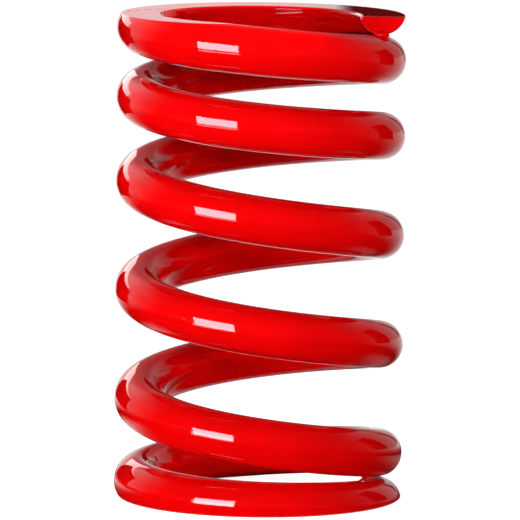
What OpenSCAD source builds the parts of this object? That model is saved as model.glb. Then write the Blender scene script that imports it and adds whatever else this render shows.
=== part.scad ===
// Compression spring of a shock absorber, wound from one round wire.
// The pitch is close at the lower tip, opens out within a turn, and is tighter in the turns below the upper tip.
// Each end coil closes on to the next one and is ground flat, square to the axis.
// The axis is Z, and the lower ground face lies on Z = 0.

/* [Wire] */
// Diameter of the coated wire
wire_d = 15; // [13:0.5:16]

/* [Coil] */
// Clear diameter inside the coils
inner_d = 60; // [54:1:80]
// Free length between the two ground faces
free_length = 151; // [142:1:165]
// Turns of wire from tip to tip
turns = 6.0625; // [5.6875:0.0625:6.375]
// Hand of the helix
winding = "left"; // [left, right]
// Direction of the lower tip, in degrees round the axis from +X
lower_tip_angle = 15; // [0:7.5:352.5]

/* [Lower end] */
// Thickness left at the lower tip by the grinding
lower_tip = 5; // [3:0.1:9]
// Gap between the lower tip and the coil above it
lower_gap = 0.3; // [0.3:0.1:1.5]
// Turns at the closed pitch, from the lower tip
lower_closed_turns = 0.55; // [0.45:0.05:0.6]
// Turns over which the pitch then opens
lower_opening_turns = 0.6; // [0.5:0.05:0.75]

/* [Upper end] */
// Thickness left at the upper tip by the grinding
upper_tip = 5.7; // [3:0.1:9]
// Gap between the upper tip and the coil below it
upper_gap = 0.3; // [0.3:0.1:1.5]
// Turns over which the pitch opens, from the upper tip
upper_opening_turns = 0.9; // [0.75:0.05:1.05]

/* [Tips] */
// Extra pitch right at each tip, which is bent away from the coil next to it
tip_bend = 18; // [0:1:20]
// Turns over which that bend dies out
tip_bend_turns = 0.3; // [0.2:0.05:0.4]

/* [Tight turns] */
// Pitch of the tighter turns below the upper end coil
tight_pitch = 23.5; // [21:0.5:26]
// Turns that are wound at the tight pitch, from the upper tip
tight_turns = 1.85; // [1.4:0.05:2.2]
// Turns over which the tight pitch goes over to the open pitch
tight_blend_turns = 0.9; // [0.5:0.05:1.2]

/* [Facets] */
// Sections of the wire along each turn
sections_per_turn = 48; // [24:4:48]
// Sides of each section
section_sides = 20; // [16:4:20]

/* [Hidden] */

paint_red = [0.83, 0.02, 0.03];

wire_r = wire_d / 2;
mean_r = (inner_d + wire_d) / 2;
outer_d = inner_d + 2 * wire_d;
hand = winding == "left" ? -1 : 1;

// The wire's centre line starts and ends where grinding leaves each tip at its thickness.
start_height = lower_tip - wire_r;
total_rise = free_length - start_height - (upper_tip - wire_r);

// Share of a change in pitch that is left at x turns from a tip: all of it, then less and less, then none
function share_left(x, full, fading) = max(0, min(1, (full + fading - x) / fading));

// That share summed from the tip to x turns
function share_sum(x, full, fading) =
    let (within = max(0, min(x, full + fading) - full))
    min(x, full) + within - within * within / (2 * fading);

function lower_share(u) = share_left(u, lower_closed_turns, lower_opening_turns);
function lower_sum(u) = share_sum(u, lower_closed_turns, lower_opening_turns);
function bend_share(x) = share_left(x, 0, tip_bend_turns);
function bend_sum(x) = share_sum(x, 0, tip_bend_turns);
function tight_share(x) = share_left(x, tight_turns, tight_blend_turns);
function tight_sum(x) = share_sum(x, tight_turns, tight_blend_turns);
function upper_share(x) = share_left(x, 0, upper_opening_turns);
function upper_sum(x) = share_sum(x, 0, upper_opening_turns);

// Each end coil rises by one wire and its gap in the turn next to its tip.
lower_rise = wire_d + lower_gap;
upper_rise = wire_d + upper_gap;
bend_rise = tip_bend * bend_sum(1);
upper_drop = (tight_pitch + bend_rise - upper_rise) / upper_sum(1);

// The open pitch makes up the rest of the free length.
lower_weight = lower_sum(turns) / lower_sum(1);
open_pitch = (total_rise + bend_rise * (lower_weight - 2) - lower_rise * lower_weight
    - tight_pitch * tight_sum(turns) + upper_drop * upper_sum(turns))
    / (turns - lower_weight - tight_sum(turns));
lower_drop = (open_pitch + bend_rise - lower_rise) / lower_sum(1);
tight_drop = open_pitch - tight_pitch;

// Pitch and height of the wire's centre at u turns above the lower tip
function pitch(u) =
    open_pitch - lower_drop * lower_share(u) - tight_drop * tight_share(turns - u)
    - upper_drop * upper_share(turns - u) + tip_bend * (bend_share(u) + bend_share(turns - u));
function height(u) =
    start_height + open_pitch * u - lower_drop * lower_sum(u)
    - tight_drop * (tight_sum(turns) - tight_sum(turns - u))
    - upper_drop * (upper_sum(turns) - upper_sum(turns - u))
    + tip_bend * (bend_sum(u) + bend_sum(turns) - bend_sum(turns - u));

// Point of the wire's skin, u turns above the lower tip and at angle a round the wire from its outer side
function skin_point(u, a) =
    let (
        turn = lower_tip_angle + hand * 360 * u,
        outward = [cos(turn), sin(turn), 0],
        forward = hand * [-sin(turn), cos(turn), 0],
        climb = atan(pitch(u) / (2 * PI * mean_r)),
        upward = [0, 0, cos(climb)] - sin(climb) * forward
    )
    mean_r * outward + [0, 0, height(u)] + wire_r * (cos(a) * outward + sin(a) * upward);

// The round wire along its whole coil, with its ends sheared square
module wound_wire() {
    last = round(turns * sections_per_turn);
    sides = section_sides;
    points = [
        for (i = [0:last], j = [0:sides - 1])
            skin_point(turns * i / last, hand * 360 * j / sides)
    ];
    skin = [
        for (i = [0:last - 1], j = [0:sides - 1])
            let (next = (j + 1) % sides)
            [i * sides + j, i * sides + next, (i + 1) * sides + next, (i + 1) * sides + j]
    ];
    lower_end = [for (j = [sides - 1:-1:0]) j];
    upper_end = [for (j = [0:sides - 1]) last * sides + j];
    polyhedron(points, concat(skin, [lower_end, upper_end]), convexity = 10);
}

// The slab that is left between the two grinding wheels
module between_grinding_planes() {
    reach = 2 * outer_d;
    translate([-reach / 2, -reach / 2, 0])
        cube([reach, reach, free_length]);
}

module coil_spring() {
    color(paint_red)
        intersection() {
            wound_wire();
            between_grinding_planes();
        }
}

coil_spring();
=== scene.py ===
"""Looks of a shock absorber spring: one wire, wound and ground flat at both ends, under gloss red enamel."""
import math

import bpy
import numpy as np
from mathutils import Matrix, Quaternion, Vector


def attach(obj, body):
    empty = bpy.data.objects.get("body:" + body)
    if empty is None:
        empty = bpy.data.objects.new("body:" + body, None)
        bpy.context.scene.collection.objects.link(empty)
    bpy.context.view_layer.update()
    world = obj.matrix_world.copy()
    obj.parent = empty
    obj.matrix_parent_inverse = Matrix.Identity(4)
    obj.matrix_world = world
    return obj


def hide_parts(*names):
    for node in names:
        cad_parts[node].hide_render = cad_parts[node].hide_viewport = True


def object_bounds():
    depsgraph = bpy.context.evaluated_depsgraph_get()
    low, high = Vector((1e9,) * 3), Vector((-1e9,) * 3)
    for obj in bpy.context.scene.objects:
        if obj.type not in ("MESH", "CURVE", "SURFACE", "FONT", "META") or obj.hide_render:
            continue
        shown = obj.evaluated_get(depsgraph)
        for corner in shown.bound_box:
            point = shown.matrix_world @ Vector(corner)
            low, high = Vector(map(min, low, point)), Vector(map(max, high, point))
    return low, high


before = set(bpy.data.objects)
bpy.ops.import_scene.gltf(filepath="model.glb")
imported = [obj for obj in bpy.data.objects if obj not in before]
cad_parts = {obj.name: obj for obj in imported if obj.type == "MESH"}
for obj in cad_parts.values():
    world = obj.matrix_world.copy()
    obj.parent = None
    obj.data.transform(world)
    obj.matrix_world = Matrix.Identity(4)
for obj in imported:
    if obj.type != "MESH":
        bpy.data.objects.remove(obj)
CAD_LOW, CAD_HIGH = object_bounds()

MM = 0.001

# The wire and its coil, in metres and in turns, as in the part's source
FREE_LENGTH = CAD_HIGH.z - CAD_LOW.z
OUTER_D = CAD_HIGH.x - CAD_LOW.x
WIRE_D = 15 * MM
WIRE_R = WIRE_D / 2
MEAN_R = OUTER_D / 2 - WIRE_R
TURNS = 6.0625
HAND = -1
LOWER_TIP_ANGLE = math.radians(15)

LOWER_TIP = 5 * MM
LOWER_GAP = 0.3 * MM
LOWER_CLOSED_TURNS = 0.55
LOWER_OPENING_TURNS = 0.6
UPPER_TIP = 5.7 * MM
UPPER_GAP = 0.3 * MM
UPPER_OPENING_TURNS = 0.9
TIP_BEND = 18 * MM
TIP_BEND_TURNS = 0.3
TIGHT_PITCH = 23.5 * MM
TIGHT_TURNS = 1.85
TIGHT_BLEND_TURNS = 0.9

# Edges that grinding and shearing leave, and that the enamel rounds over
OUTER_EDGE_R = 0.5 * MM
INNER_EDGE_R = 1.0 * MM
TIP_EDGE = 0.35 * MM
TIP_EDGE_STEPS = 4

# Mesh of the wire: steps round each half of the section, and two rounds of cuts along the bar
HALF_STEPS = 32
FIRST_CUTS = 27
SECOND_CUTS = 26
MERGE_WITHIN = 0.004 * MM
DISSOLVE_UNDER = 0.002 * MM
SAME_LEVEL = 1e-7


def share_left(x, full, fading):
    """Share of a change in pitch that is left at x turns from a tip."""
    return np.clip((full + fading - x) / fading, 0, 1)


def share_sum(x, full, fading):
    """That share summed from the tip to x turns."""
    within = np.maximum(0, np.minimum(x, full + fading) - full)
    return np.minimum(x, full) + within - within * within / (2 * fading)


# Turns over which each change in pitch lasts, and then fades
LOWER_SHAPE = (LOWER_CLOSED_TURNS, LOWER_OPENING_TURNS)
UPPER_SHAPE = (0, UPPER_OPENING_TURNS)
TIGHT_SHAPE = (TIGHT_TURNS, TIGHT_BLEND_TURNS)
BEND_SHAPE = (0, TIP_BEND_TURNS)

START_HEIGHT = LOWER_TIP - WIRE_R
TOTAL_RISE = FREE_LENGTH - START_HEIGHT - (UPPER_TIP - WIRE_R)
BEND_RISE = TIP_BEND * share_sum(1, *BEND_SHAPE)
UPPER_DROP = (TIGHT_PITCH + BEND_RISE - WIRE_D - UPPER_GAP) / share_sum(1, *UPPER_SHAPE)
LOWER_RISE = WIRE_D + LOWER_GAP
LOWER_WEIGHT = share_sum(TURNS, *LOWER_SHAPE) / share_sum(1, *LOWER_SHAPE)
TIGHT_SUM = share_sum(TURNS, *TIGHT_SHAPE)
OPEN_PITCH = (
    TOTAL_RISE + BEND_RISE * (LOWER_WEIGHT - 2) - LOWER_RISE * LOWER_WEIGHT
    - TIGHT_PITCH * TIGHT_SUM + UPPER_DROP * share_sum(TURNS, *UPPER_SHAPE)
) / (TURNS - LOWER_WEIGHT - TIGHT_SUM)
LOWER_DROP = (OPEN_PITCH + BEND_RISE - LOWER_RISE) / share_sum(1, *LOWER_SHAPE)
TIGHT_DROP = OPEN_PITCH - TIGHT_PITCH


def pitch(u):
    """Rise per turn of the wire's centre, u turns above the lower tip."""
    left = TURNS - u
    return (
        OPEN_PITCH - LOWER_DROP * share_left(u, *LOWER_SHAPE) - TIGHT_DROP * share_left(left, *TIGHT_SHAPE)
        - UPPER_DROP * share_left(left, *UPPER_SHAPE)
        + TIP_BEND * (share_left(u, *BEND_SHAPE) + share_left(left, *BEND_SHAPE))
    )


def height(u):
    """Height of the wire's centre, u turns above the lower tip."""
    left = TURNS - u

    def below(shape):
        return share_sum(TURNS, *shape) - share_sum(left, *shape)

    return (
        START_HEIGHT + OPEN_PITCH * u - LOWER_DROP * share_sum(u, *LOWER_SHAPE)
        - TIGHT_DROP * below(TIGHT_SHAPE) - UPPER_DROP * below(UPPER_SHAPE)
        + TIP_BEND * (share_sum(u, *BEND_SHAPE) + below(BEND_SHAPE))
    )


def wire_axes(u):
    """Outward, forward and upward directions of the wire's section, u turns above the lower tip."""
    turn = LOWER_TIP_ANGLE + HAND * 2 * math.pi * u
    zero = np.zeros_like(turn)
    outward = np.stack([np.cos(turn), np.sin(turn), zero], -1)
    along = HAND * np.stack([-np.sin(turn), np.cos(turn), zero], -1)
    climb = np.arctan(pitch(u) / (2 * math.pi * MEAN_R))[..., None]
    plumb = np.array([0.0, 0.0, 1.0])
    forward = along * np.cos(climb) + plumb * np.sin(climb)
    upward = plumb * np.cos(climb) - along * np.sin(climb)
    return outward, forward, upward


def wound_and_ground(u, angle, side):
    """Place of a point of the bar once it is wound and both ends are ground.

    The angle runs round the section from its outer side. A grinding plane cuts the section, and the two
    corners that it leaves, one on the outer side and one on the inner, are rounded.
    """
    outward, _, upward = wire_axes(u)
    rise = height(u)
    steep = np.linalg.norm(upward[..., :2], axis=-1)
    lean = np.sqrt(1 - steep ** 2)
    edge = np.where(side > 0, OUTER_EDGE_R, INNER_EDGE_R)
    core = WIRE_R - edge
    out, up = core * np.cos(angle), core * np.sin(angle)
    low = -rise / lean + edge
    high = (FREE_LENGTH - rise) / lean - edge
    for level, beyond in ((low, up < low), (high, up > high)):
        corner = np.sqrt(np.maximum(0, core ** 2 - level ** 2))
        out = np.where(beyond, side * corner, out)
        up = np.where(beyond, level, up)
    out = out + edge * np.cos(angle)
    up = up + edge * np.sin(angle)
    place = (MEAN_R + out)[..., None] * outward + up[..., None] * upward
    place[..., 2] += rise
    place[..., 2] = np.clip(place[..., 2], 0, FREE_LENGTH)
    return place


def select_only(piece):
    bpy.ops.object.select_all(action="DESELECT")
    piece.select_set(True)
    bpy.context.view_layer.objects.active = piece


def points_of(piece):
    points = np.empty(len(piece.data.vertices) * 3, np.float32)
    piece.data.vertices.foreach_get("co", points)
    return points.reshape(-1, 3).astype(float)


def move_points(piece, place):
    piece.data.vertices.foreach_set("co", place.astype(np.float32).ravel())
    piece.data.update()


def straight_bar(sides, radius, rounds_of_cuts):
    """A bar of length 1 along Z, whose lengthwise edges are cut into equal pieces, round by round."""
    bpy.ops.object.select_all(action="DESELECT")
    bpy.ops.mesh.primitive_cylinder_add(vertices=sides, radius=radius, depth=1, end_fill_type="NGON")
    bar = bpy.context.object
    for cuts in rounds_of_cuts:
        bpy.ops.object.mode_set(mode="EDIT")
        bpy.ops.mesh.select_mode(type="EDGE")
        bpy.ops.mesh.select_all(action="DESELECT")
        bpy.ops.object.mode_set(mode="OBJECT")
        z = points_of(bar)[:, 2]
        for edge in bar.data.edges:
            start, end = edge.vertices
            edge.select = bool(abs(z[start] - z[end]) > SAME_LEVEL)
        bpy.ops.object.mode_set(mode="EDIT")
        bpy.ops.mesh.subdivide(number_cuts=cuts, smoothness=0)
        bpy.ops.object.mode_set(mode="OBJECT")
    return bar


def ease_tips(spring):
    """Bevels the rim of the two sheared end faces, which have more corners than any other face."""
    select_only(spring)
    bpy.ops.object.mode_set(mode="EDIT")
    bpy.ops.mesh.select_mode(type="FACE")
    bpy.ops.mesh.select_all(action="DESELECT")
    bpy.ops.object.mode_set(mode="OBJECT")
    most = max(len(face.vertices) for face in spring.data.polygons)
    for face in spring.data.polygons:
        face.select = len(face.vertices) == most
    bpy.ops.object.mode_set(mode="EDIT")
    bpy.ops.mesh.region_to_loop()
    bpy.ops.mesh.bevel(
        offset=TIP_EDGE, offset_type="OFFSET", segments=TIP_EDGE_STEPS, affect="EDGES", clamp_overlap=False)
    bpy.ops.object.mode_set(mode="OBJECT")


def make_spring():
    """A straight bar is wound into the coil and ground, and its sheared tips are eased."""
    columns = 2 * (HALF_STEPS + 1)
    spring = straight_bar(columns, WIRE_R, (FIRST_CUTS, SECOND_CUTS))
    spring.name = spring.data.name = "wound_spring"

    # Each half of the section has its own column at the top and the bottom, where grinding parts the two.
    bar = points_of(spring)
    u = (bar[:, 2] + 0.5) * TURNS
    column = np.round(np.arctan2(bar[:, 1], bar[:, 0]) / (2 * math.pi) * columns).astype(int) % columns
    outer = column <= HALF_STEPS
    step = np.where(outer, column, column - HALF_STEPS - 1) / HALF_STEPS
    angle = np.where(outer, -math.pi / 2, math.pi / 2) + math.pi * step
    move_points(spring, wound_and_ground(u, angle, np.where(outer, 1.0, -1.0)))

    ease_tips(spring)
    bpy.ops.object.mode_set(mode="EDIT")
    bpy.ops.mesh.select_mode(type="VERT")
    bpy.ops.mesh.select_all(action="SELECT")
    bpy.ops.mesh.remove_doubles(threshold=MERGE_WITHIN)
    bpy.ops.mesh.dissolve_degenerate(threshold=DISSOLVE_UNDER)
    bpy.ops.mesh.select_all(action="SELECT")
    bpy.ops.mesh.normals_make_consistent(inside=False)
    bpy.ops.object.mode_set(mode="OBJECT")
    bpy.ops.object.shade_smooth()
    weighted = spring.modifiers.new("even_normals", "WEIGHTED_NORMAL")
    weighted.mode = "FACE_AREA"
    weighted.keep_sharp = False
    bpy.ops.object.modifier_apply(modifier=weighted.name)
    return spring


# Enamel that ran into the closing gap at each tip and set there: a bead along the gap, over so many turns.
# Near the tip the bead is painted dark, as shade deep in the gap.
UPPER_BEAD_TURNS, LOWER_BEAD_TURNS = 0.24, 0.13
BEAD_WIDTH = 0.8 * MM
BEAD_GRIP = 0.4 * MM
BEAD_HOLLOW, BEAD_HOLLOW_POWER = 0.08, 4
# Painted shade on the bead: dark up to the first share of its length, and red again from the second
BEAD_RED_FROM, BEAD_RED_TO = 0.55, 0.85
BEAD_SIDES, BEAD_CUTS = 24, 40
BEAD_SHARP_ANGLE = math.radians(40)

# A drop of enamel under the upper tip
DROP_TURN = math.radians(-8.5)
DROP_R = MEAN_R + 0.1 * MM
DROP_HEIGHT = FREE_LENGTH - UPPER_TIP - UPPER_GAP / 2
DROP_HALF = (2.4 * MM, 1.4 * MM, 1.4 * MM)
DROP_SEGMENTS, DROP_RINGS = 48, 24


def enamel_bead(tip, turns):
    """A bead of enamel in the gap below the coil, from a tip over so many turns, that grips both coils.

    Its far end is hollow, as the enamel clung to the coil above and to the one below. From the tip on it is
    painted dark red, as shade deep in the gap, and turns red towards its far end.
    """
    bead = straight_bar(BEAD_SIDES, 1, (BEAD_CUTS,))
    bar = points_of(bead)
    share = bar[:, 2] + 0.5
    u = tip + turns * share * (1 - BEAD_HOLLOW * share ** BEAD_HOLLOW_POWER * (1 - bar[:, 1] ** 2))
    gap = height(u) - height(u - 1) - WIRE_D
    turn = LOWER_TIP_ANGLE + HAND * 2 * math.pi * u
    reach = MEAN_R + BEAD_WIDTH * bar[:, 0]
    level = (height(u) + height(u - 1)) / 2 + (gap / 2 + BEAD_GRIP) * bar[:, 1]
    move_points(bead, np.stack([reach * np.cos(turn), reach * np.sin(turn), level], -1))
    # Painted shade: dark red from the tip on, for the shade deep in the gap, fading to red towards the far
    # end
    painted_gap_shade = bead.data.attributes.new("painted_gap_shade", "FLOAT", "POINT")
    depth = np.clip((BEAD_RED_TO - share) / (BEAD_RED_TO - BEAD_RED_FROM), 0, 1)
    painted_gap_shade.data.foreach_set("value", depth.astype(np.float32))
    bpy.ops.object.mode_set(mode="EDIT")
    bpy.ops.mesh.select_all(action="SELECT")
    bpy.ops.mesh.normals_make_consistent(inside=False)
    bpy.ops.object.mode_set(mode="OBJECT")
    bpy.ops.object.shade_smooth_by_angle(angle=BEAD_SHARP_ANGLE)
    return bead


def enamel_drop():
    """A drop of enamel that hangs between the upper tip and the coil below it."""
    bpy.ops.object.select_all(action="DESELECT")
    bpy.ops.mesh.primitive_uv_sphere_add(segments=DROP_SEGMENTS, ring_count=DROP_RINGS, radius=1)
    drop = bpy.context.object
    bpy.ops.object.mode_set(mode="EDIT")
    bpy.ops.mesh.select_all(action="SELECT")
    bpy.ops.transform.resize(value=DROP_HALF)
    bpy.ops.object.mode_set(mode="OBJECT")
    outward = Vector((math.cos(DROP_TURN), math.sin(DROP_TURN), 0))
    drop.data.transform(Matrix.Rotation(DROP_TURN, 4, "Z"))
    drop.data.transform(Matrix.Translation(outward * DROP_R + Vector((0, 0, DROP_HEIGHT))))
    bpy.ops.object.shade_smooth()
    return drop


def add_set_enamel(spring):
    """Joins the beads at both tips and the drop to the wire."""
    runs = [enamel_bead(TURNS, -UPPER_BEAD_TURNS), enamel_bead(1.0, LOWER_BEAD_TURNS), enamel_drop()]
    select_only(spring)
    for piece in runs:
        piece.select_set(True)
    bpy.ops.object.join()


def empty_material(name):
    material = bpy.data.materials.new(name)
    material.use_nodes = True
    material.node_tree.nodes.clear()
    return material


def ramp(tree, value, start, end, low=0.0, high=1.0, smooth=True):
    """Goes from low to high, in a smooth step or evenly, while the value goes from start to end."""
    node = tree.nodes.new("ShaderNodeMapRange")
    node.interpolation_type = "SMOOTHSTEP" if smooth else "LINEAR"
    node.inputs["From Min"].default_value, node.inputs["From Max"].default_value = start, end
    node.inputs["To Min"].default_value, node.inputs["To Max"].default_value = low, high
    tree.links.new(value, node.inputs["Value"])
    return node.outputs["Result"]


def calculate(tree, operation, *values):
    node = tree.nodes.new("ShaderNodeMath")
    node.operation = operation
    for socket, value in zip(node.inputs, values):
        if isinstance(value, (int, float)):
            socket.default_value = value
        else:
            tree.links.new(value, socket)
    return node.outputs["Value"]


def product(tree, first, *others):
    for other in others:
        first = calculate(tree, "MULTIPLY", first, other)
    return first


def vector_step(tree, operation, vector, constant=(0, 0, 0)):
    """The vector after one operation with a constant vector, or the number that the operation gives."""
    node = tree.nodes.new("ShaderNodeVectorMath")
    node.operation = operation
    node.inputs[1].default_value = constant
    tree.links.new(vector, node.inputs[0])
    return node.outputs["Value" if operation in ("DOT_PRODUCT", "LENGTH") else "Vector"]


def split_xyz(tree, vector):
    node = tree.nodes.new("ShaderNodeSeparateXYZ")
    tree.links.new(vector, node.inputs["Vector"])
    return tuple(node.outputs)


def distance_from_axis(tree, x, y):
    return calculate(tree, "SQRT", calculate(tree, "ADD", product(tree, x, x), product(tree, y, y)))


def noise(tree, place, scale, detail):
    node = tree.nodes.new("ShaderNodeTexNoise")
    node.inputs["Scale"].default_value = scale
    node.inputs["Detail"].default_value = detail
    tree.links.new(place, node.inputs["Vector"])
    return node.outputs["Fac"]


def blend(tree, share, first, second):
    """The first colour where the share is 0, and the second where it is 1."""
    node = tree.nodes.new("ShaderNodeMix")
    node.data_type = "RGBA"
    tree.links.new(share, node.inputs["Factor"])
    for socket, colour in ((node.inputs["A"], first), (node.inputs["B"], second)):
        if isinstance(colour, tuple):
            socket.default_value = (*colour, 1)
        else:
            tree.links.new(colour, socket)
    return node.outputs["Result"]


# Enamel: its reds, and clouds in which tint and gloss change a little
ENAMEL_RED = (0.82, 0.0005, 0.0012)
ENAMEL_DEEP = (0.75, 0.0004, 0.0009)
ENAMEL_IOR = 1.48
CLOUD_SCALE, CLOUD_DETAIL, CLOUD_RANGE = 60, 4, (0.3, 0.6)
ROUGHNESS = (0.015, 0.05)
# Painted shade: the dark red of the beads, where the gaps at the tips lie in shade
GAP_SHADE_RED = (0.05, 0.0004, 0.0006)

# Relief of the enamel: orange peel all over, pits on the ground faces and dents on the sheared end faces
PEEL_SCALE, PEEL_DETAIL, PEEL_DEPTH = 420, 2, 0.004 * MM
PIT_LENGTH, PIT_WIDTH, PIT_DEPTH = 16 * MM, 3 * MM, 0.4 * MM
PIT_EDGE = (0.05, 0.25)
PITS_FADE = (-20 * MM, 10 * MM)
GROUND_SKIN = 0.06 * MM
SHEAR_SCALE, SHEAR_DETAIL, SHEAR_DEPTH = 170, 1, 0.3 * MM
SHEAR_SKIN = 0.5 * MM
SHEAR_REACH = (WIRE_R, 1.1 * WIRE_R)
# A deeper red on the sheared end faces
SHEAR_RED = (0.8, 0.0004, 0.0009)


def sheared_face(tree, place, u, away):
    """1 on the end face of the tip at u turns, which looks away from the wire, and 0 elsewhere."""
    outward, forward, _ = wire_axes(np.float64(u))
    centre = Vector(MEAN_R * outward) + Vector((0, 0, height(np.float64(u))))
    from_centre = vector_step(tree, "SUBTRACT", place, centre)
    ahead = vector_step(tree, "DOT_PRODUCT", from_centre, Vector(away * forward))
    reach = vector_step(tree, "LENGTH", from_centre)
    face = ramp(tree, ahead, -SHEAR_SKIN, -SHEAR_SKIN / 3)
    return product(tree, face, ramp(tree, reach, *SHEAR_REACH, 1, 0))


def enamel_colour(tree, cloud, sheared):
    """Red that clouds a little, is a shade deeper on the sheared faces, and is painted dark on the beads as
    shade deep in the gaps.
    """
    tint = blend(tree, ramp(tree, cloud, *CLOUD_RANGE, smooth=False), ENAMEL_DEEP, ENAMEL_RED)
    deeper_on_ends = blend(tree, sheared, tint, SHEAR_RED)
    # Painted shade on the beads, read from their attribute
    gap = tree.nodes.new("ShaderNodeAttribute")
    gap.attribute_name = "painted_gap_shade"
    return blend(tree, gap.outputs["Fac"], deeper_on_ends, GAP_SHADE_RED)


def pits_on_ground_faces(tree, x, y, z):
    """Depth of long pits that follow the coil on both ground faces, mostly on the left."""
    upper = ramp(tree, z, FREE_LENGTH - GROUND_SKIN, FREE_LENGTH - GROUND_SKIN / 3)
    lower = ramp(tree, z, GROUND_SKIN / 3, GROUND_SKIN, 1, 0)
    ground = calculate(tree, "ADD", upper, lower)
    round_axis = calculate(tree, "ARCTAN2", product(tree, y, -1), product(tree, x, -1))
    track = tree.nodes.new("ShaderNodeCombineXYZ")
    tree.links.new(product(tree, round_axis, MEAN_R / PIT_LENGTH), track.inputs["X"])
    tree.links.new(product(tree, distance_from_axis(tree, x, y), 1 / PIT_WIDTH), track.inputs["Y"])
    spots = tree.nodes.new("ShaderNodeTexVoronoi")
    spots.inputs["Scale"].default_value = 1
    tree.links.new(track.outputs["Vector"], spots.inputs["Vector"])
    pits = ramp(tree, spots.outputs["Distance"], *PIT_EDGE, -PIT_DEPTH, 0)
    return product(tree, pits, product(tree, ground, ramp(tree, x, *PITS_FADE, 1, 0)))


def enamel_relief(tree, place, sheared):
    waves = product(tree, noise(tree, place, PEEL_SCALE, PEEL_DETAIL), PEEL_DEPTH)
    pits = pits_on_ground_faces(tree, *split_xyz(tree, place))
    dents = product(tree, noise(tree, place, SHEAR_SCALE, SHEAR_DETAIL), sheared, SHEAR_DEPTH)
    bump = tree.nodes.new("ShaderNodeBump")
    bump.inputs["Distance"].default_value = 1
    tree.links.new(calculate(tree, "ADD", waves, calculate(tree, "ADD", pits, dents)), bump.inputs["Height"])
    return bump.outputs["Normal"]


def enamel_material():
    """Gloss red enamel: a smooth skin with a faint orange peel, pitted on the ground faces."""
    material = empty_material("gloss_red_enamel")
    tree = material.node_tree
    out = tree.nodes.new("ShaderNodeOutputMaterial")
    skin = tree.nodes.new("ShaderNodeBsdfPrincipled")
    skin.inputs["IOR"].default_value = ENAMEL_IOR
    tree.links.new(skin.outputs["BSDF"], out.inputs["Surface"])
    place = tree.nodes.new("ShaderNodeTexCoord").outputs["Object"]
    cloud = noise(tree, place, CLOUD_SCALE, CLOUD_DETAIL)
    tips = (sheared_face(tree, place, TURNS, 1), sheared_face(tree, place, 0, -1))
    sheared = calculate(tree, "ADD", *tips)
    tree.links.new(enamel_colour(tree, cloud, sheared), skin.inputs["Base Color"])
    tree.links.new(ramp(tree, cloud, 0, 1, *ROUGHNESS, smooth=False), skin.inputs["Roughness"])
    tree.links.new(enamel_relief(tree, place, sheared), skin.inputs["Normal"])
    return material


# Camera: the point it aims at, and its view
AIM = Vector((0.16 * MM, 0, 74.09 * MM))
VIEW_RISE = math.radians(6.99)
VIEW_DISTANCE = 2.0546
VIEW_ROLL = math.radians(0.56)
VIEW_LENS, VIEW_SENSOR = 456.4, 36
VIEW_CLIP = (0.05, 50)


def make_camera():
    data = bpy.data.cameras.new("photo_camera")
    camera = bpy.data.objects.new("photo_camera", data)
    bpy.context.scene.collection.objects.link(camera)
    data.lens = VIEW_LENS
    data.sensor_width = VIEW_SENSOR
    data.clip_start, data.clip_end = VIEW_CLIP
    towards = Vector((0, math.cos(VIEW_RISE), -math.sin(VIEW_RISE)))
    level, upright = Vector((1, 0, 0)), Vector((0, math.sin(VIEW_RISE), math.cos(VIEW_RISE)))
    right = level * math.cos(VIEW_ROLL) + upright * math.sin(VIEW_ROLL)
    up = upright * math.cos(VIEW_ROLL) - level * math.sin(VIEW_ROLL)
    turn = Matrix((right, up, -towards)).transposed().to_4x4()
    camera.matrix_world = Matrix.Translation(AIM - towards * VIEW_DISTANCE) @ turn
    bpy.context.scene.camera = camera


# Walls of the studio: how bright they are behind the spring on either side, and where they fade out
LEFT_WALL, LEFT_FADE = 1.1, (-0.1, 1.0)
RIGHT_WALL, RIGHT_FADE = 0.5, (-0.35, 1.5)
LEFT_TO_RIGHT = (-0.5, 0.5)
WALL_TOP = (0.13, 0.27)
ABOVE_WALL = 0.22
SIDE_WALL_TOP = (0.55, 0.85)
LOW_WALL_FROM = (-0.45, -0.1)
LOW_WALL_UNTIL = (0.18, 0.4)
DARK_ROOM = 0.03


def wall_level(tree, x, y, left_level, right_level):
    """Brightness of the walls towards a level direction: none in front, and more towards the back."""
    left = ramp(tree, y, *LEFT_FADE, 0, left_level)
    right = ramp(tree, y, *RIGHT_FADE, 0, right_level)
    change = product(tree, ramp(tree, x, *LEFT_TO_RIGHT), calculate(tree, "SUBTRACT", right, left))
    return calculate(tree, "ADD", left, change)


def make_world():
    """White walls, which fade out towards the camera and overhead, and are low behind the spring."""
    world = bpy.data.worlds.new("studio")
    bpy.context.scene.world = world
    world.use_nodes = True
    tree = world.node_tree
    background = tree.nodes["Background"]
    background.inputs["Color"].default_value = (1, 1, 1, 1)
    x, y, z = split_xyz(tree, tree.nodes.new("ShaderNodeTexCoord").outputs["Generated"])
    high = ramp(tree, z, *SIDE_WALL_TOP, 1, 0)
    low = product(tree, ramp(tree, z, *WALL_TOP, 1, ABOVE_WALL), high)
    behind = product(tree, ramp(tree, x, *LOW_WALL_FROM), ramp(tree, x, *LOW_WALL_UNTIL, 1, 0))
    drop = product(tree, behind, calculate(tree, "SUBTRACT", low, high))
    upright = calculate(tree, "ADD", high, drop)
    walls = product(tree, wall_level(tree, x, y, LEFT_WALL, RIGHT_WALL), upright)
    tree.links.new(calculate(tree, "ADD", walls, DARK_ROOM), background.inputs["Strength"])


# Floor: its matt white, and how brightly it glows where it is seen, near the spring and far behind it
FLOOR_SIZE = 12
FLOOR_WHITE = (0.58, 0.58, 0.58)
FLOOR_GLOW = 0.9
FAR_GLOW, FAR_FROM, FAR_TO = 0.97, 0.1, 1.4


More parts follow.
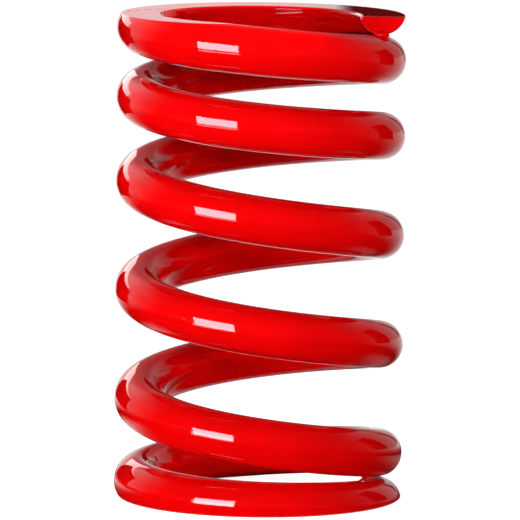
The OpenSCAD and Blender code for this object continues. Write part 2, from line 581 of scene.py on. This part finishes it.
def make_floor():
    """Pale floor, seen as white, on which the spring's shadow stays faintly."""
    bpy.ops.object.select_all(action="DESELECT")
    bpy.ops.mesh.primitive_plane_add(size=FLOOR_SIZE)
    floor = bpy.context.object
    floor.name = floor.data.name = "pale_floor"
    material = empty_material("pale_floor")
    tree = material.node_tree
    out = tree.nodes.new("ShaderNodeOutputMaterial")
    matt = tree.nodes.new("ShaderNodeBsdfDiffuse")
    matt.inputs["Color"].default_value = (*FLOOR_WHITE, 1)
    glow = tree.nodes.new("ShaderNodeEmission")
    path = tree.nodes.new("ShaderNodeLightPath")
    seen = calculate(tree, "MAXIMUM", path.outputs["Is Camera Ray"], path.outputs["Is Glossy Ray"])
    seen = calculate(tree, "MAXIMUM", seen, path.outputs["Is Transmission Ray"])
    _, y, _ = split_xyz(tree, tree.nodes.new("ShaderNodeTexCoord").outputs["Object"])
    white = ramp(tree, y, FAR_FROM, FAR_TO, FLOOR_GLOW, FAR_GLOW)
    tree.links.new(product(tree, seen, white), glow.inputs["Strength"])
    both = tree.nodes.new("ShaderNodeAddShader")
    tree.links.new(matt.outputs["BSDF"], both.inputs[0])
    tree.links.new(glow.outputs["Emission"], both.inputs[1])
    tree.links.new(both.outputs["Shader"], out.inputs["Surface"])
    floor.data.materials.append(material)


def direction(azimuth, rise):
    """Unit vector, from degrees: azimuth 0 points at the camera, +90 to its right; rise is above level."""
    turn, lift = math.radians(azimuth), math.radians(rise)
    return Vector((math.sin(turn) * math.cos(lift), -math.cos(turn) * math.cos(lift), math.sin(lift)))


# Black cards that only the gloss sees: azimuths and rises, in degrees, from the middle of the spring
CARD_BLACK = 0.006
LEFT_CARD = dict(left=-156, right=-122, low=-10, high=17, distance=0.42)
RIGHT_CARD = dict(left=104, right=126, low=-6, high=26, distance=0.42)
BACK_CARD = dict(left=173.5, right=178.7, low=3.5, high=20, distance=2.0)
BACK_CARD_FADE = (0.44, 0.52)
EDGE_CARD = dict(left=157.5, right=162, low=-2.5, high=16, distance=1.5)

# A card on the floor: its height, how far back its clear part starts, and clear patches beside the spring
FRONT_CARD_HEIGHT = 0.4 * MM
FRONT_CARD_BACK = 0.12
BESIDE_FROM, BESIDE_TO, BESIDE_BACK = (0.04, 0.075), (0.08, 0.12), (-0.02, 0.02)
BESIDE_SIDES = (-0.05, 0.05)
LEFT_BESIDE, RIGHT_BESIDE = 0.6, 0.2

# A flag that only shades: it keeps the key light off the inside of the top coil.
FLAG_X = (-75 * MM, 0)
FLAG_Y = -60 * MM
FLAG_Z = (FREE_LENGTH + 8 * MM, FREE_LENGTH + 27 * MM)


def black_card(name, size_x, size_y, material):
    """A black card, seen in the gloss only, so that it neither shades the spring nor is in the picture."""
    bpy.ops.object.select_all(action="DESELECT")
    bpy.ops.mesh.primitive_plane_add(size=1)
    card = bpy.context.object
    card.name = card.data.name = name
    card.scale = (size_x, size_y, 1)
    card.data.materials.append(material)
    card.visible_camera = card.visible_diffuse = card.visible_shadow = card.visible_transmission = False
    return card


def card_material(name):
    material = empty_material(name)
    tree = material.node_tree
    out = tree.nodes.new("ShaderNodeOutputMaterial")
    glow = tree.nodes.new("ShaderNodeEmission")
    glow.inputs["Strength"].default_value = CARD_BLACK
    tree.links.new(glow.outputs["Emission"], out.inputs["Surface"])
    return material


def clear_by(material, share):
    """Lets a card's black give way to clear by a share."""
    tree = material.node_tree
    clear = tree.nodes.new("ShaderNodeBsdfTransparent")
    mix = tree.nodes.new("ShaderNodeMixShader")
    tree.links.new(share, mix.inputs["Fac"])
    tree.links.new(tree.nodes["Emission"].outputs["Emission"], mix.inputs[1])
    tree.links.new(clear.outputs["BSDF"], mix.inputs[2])
    tree.links.new(mix.outputs["Shader"], tree.nodes["Material Output"].inputs["Surface"])


def back_card_material():
    """Black, and clear at the edge that the upper ground face mirrors."""
    material = card_material("back_card")
    tree = material.node_tree
    x, _, _ = split_xyz(tree, tree.nodes.new("ShaderNodeTexCoord").outputs["Object"])
    clear_by(material, ramp(tree, x, *BACK_CARD_FADE))
    return material


def front_card_material():
    """Black in front of the spring and under it, and clear towards the walls behind it and beside it."""
    material = card_material("front_card")
    tree = material.node_tree
    spot = tree.nodes.new("ShaderNodeNewGeometry").outputs["Position"]
    from_back = vector_step(tree, "SUBTRACT", spot, (0, FRONT_CARD_BACK, FRONT_CARD_HEIGHT))
    way_x, way_y, _ = split_xyz(tree, vector_step(tree, "NORMALIZE", from_back))
    x, y, _ = split_xyz(tree, spot)
    off_axis = distance_from_axis(tree, x, y)
    beside = product(
        tree, ramp(tree, off_axis, *BESIDE_FROM), ramp(tree, off_axis, *BESIDE_TO, 1, 0),
        ramp(tree, y, *BESIDE_BACK), ramp(tree, x, *BESIDE_SIDES, LEFT_BESIDE, RIGHT_BESIDE))
    clear_by(material, calculate(tree, "MAXIMUM", wall_level(tree, way_x, way_y, 1, 1), beside))
    return material


def standing_card(name, material, left, right, low, high, distance):
    middle = direction((left + right) / 2, 0)
    width = 2 * distance * math.tan(math.radians((right - left) / 2))
    bottom, top = (distance * math.tan(math.radians(rise)) for rise in (low, high))
    card = black_card(name, width, top - bottom, material)
    card.location = AIM + Vector((0, 0, (bottom + top) / 2)) + middle * distance
    card.rotation_mode = "QUATERNION"
    card.rotation_quaternion = middle.to_track_quat("Z", "Y")


def make_cards():
    black = card_material("black_card")
    standing_card("left_card", black, **LEFT_CARD)
    standing_card("right_card", black, **RIGHT_CARD)
    standing_card("back_card", back_card_material(), **BACK_CARD)
    standing_card("edge_card", black, **EDGE_CARD)
    front = black_card("front_card", FLOOR_SIZE, FLOOR_SIZE, front_card_material())
    front.location.z = FRONT_CARD_HEIGHT

    flag = black_card("key_flag", FLAG_X[1] - FLAG_X[0], FLAG_Z[1] - FLAG_Z[0], black)
    flag.visible_glossy, flag.visible_shadow = False, True
    flag.location = (sum(FLAG_X) / 2, FLAG_Y, sum(FLAG_Z) / 2)
    flag.rotation_euler.x = math.radians(90)


# Soft boxes: direction and size, in degrees, from the middle of the spring, then distance and radiance
OPEN_SPREAD = 180

# Gleams light the gloss only.
GLEAMS = {
    "key_gleam": dict(
        azimuth=-34, rise=9, wide=33, tall=23, distance=1.6, radiance=16.5, tint=(0.84, 0.9, 1)),
    "key_skirt": dict(azimuth=-34, rise=-6, wide=33, tall=7, distance=0.42, radiance=5),
}

# Lights reach only the colour below the gloss, and a grid gives a spread less than open.
LIGHTS = {
    "key_light": dict(
        azimuth=-22, rise=19.5, wide=30, tall=8, distance=0.9, radiance=2.75, spread=52, roll=-15),
    "left_light": dict(azimuth=-62, rise=3, wide=30, tall=10, distance=0.9, radiance=1.95, spread=64),
    "fill_light": dict(azimuth=32, rise=13, wide=30, tall=6.5, distance=0.9, radiance=1.1, spread=52),
    "right_light": dict(azimuth=80, rise=7.5, wide=30, tall=6, distance=0.9, radiance=1.1, spread=52),
    "low_light": dict(azimuth=-8, rise=-3.5, wide=40, tall=5, distance=0.6, radiance=1.15, spread=60),
    "face_light": dict(
        azimuth=-90, rise=86.2, wide=22.6, tall=16, distance=0.3, radiance=0.9, spread=8, aim_x=-22 * MM),
    "top_light": dict(azimuth=0, rise=84, wide=30, tall=30, distance=0.9, radiance=0.3),
}

# The rim light reaches both.
RIM_LIGHT = dict(azimuth=-152, rise=17, wide=38, tall=12, distance=1.0, radiance=2.0)


def soft_box(
        name, azimuth, rise, wide, tall, distance, radiance,
        spread=OPEN_SPREAD, roll=0, aim_x=0.0, tint=(1, 1, 1), gloss=True, matt=True):
    """A soft box that fills so many degrees across and up.

    A box with a grid points at the top coil, so that its light falls off towards the floor.
    """
    lamp = bpy.data.lights.new(name, "AREA")
    lamp.color = tint
    lamp.shape = "RECTANGLE"
    lamp.size = 2 * distance * math.tan(math.radians(wide / 2))
    lamp.size_y = 2 * distance * math.tan(math.radians(tall / 2))
    lamp.energy = radiance * math.pi * lamp.size * lamp.size_y
    lamp.spread = math.radians(spread)
    box = bpy.data.objects.new(name, lamp)
    bpy.context.scene.collection.objects.link(box)
    box.location = AIM + direction(azimuth, rise) * distance
    target = AIM if spread == OPEN_SPREAD else Vector((aim_x, 0, FREE_LENGTH))
    box.rotation_mode = "QUATERNION"
    level = (box.location - target).to_track_quat("Z", "Y")
    box.rotation_quaternion = level @ Quaternion((0, 0, 1), math.radians(roll))
    box.visible_camera = False
    box.visible_glossy, box.visible_diffuse = gloss, matt


def make_lamps():
    for name, gleam in GLEAMS.items():
        soft_box(name, **gleam, matt=False)
    for name, light in LIGHTS.items():
        soft_box(name, **light, gloss=False)
    soft_box("rim_light", **RIM_LIGHT)


spring = make_spring()
add_set_enamel(spring)
spring.data.materials.append(enamel_material())
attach(spring, "root")
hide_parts("coil_spring")

make_camera()
make_floor()
make_world()
make_cards()
make_lamps()
bpy.context.scene.view_settings.view_transform = "Standard"
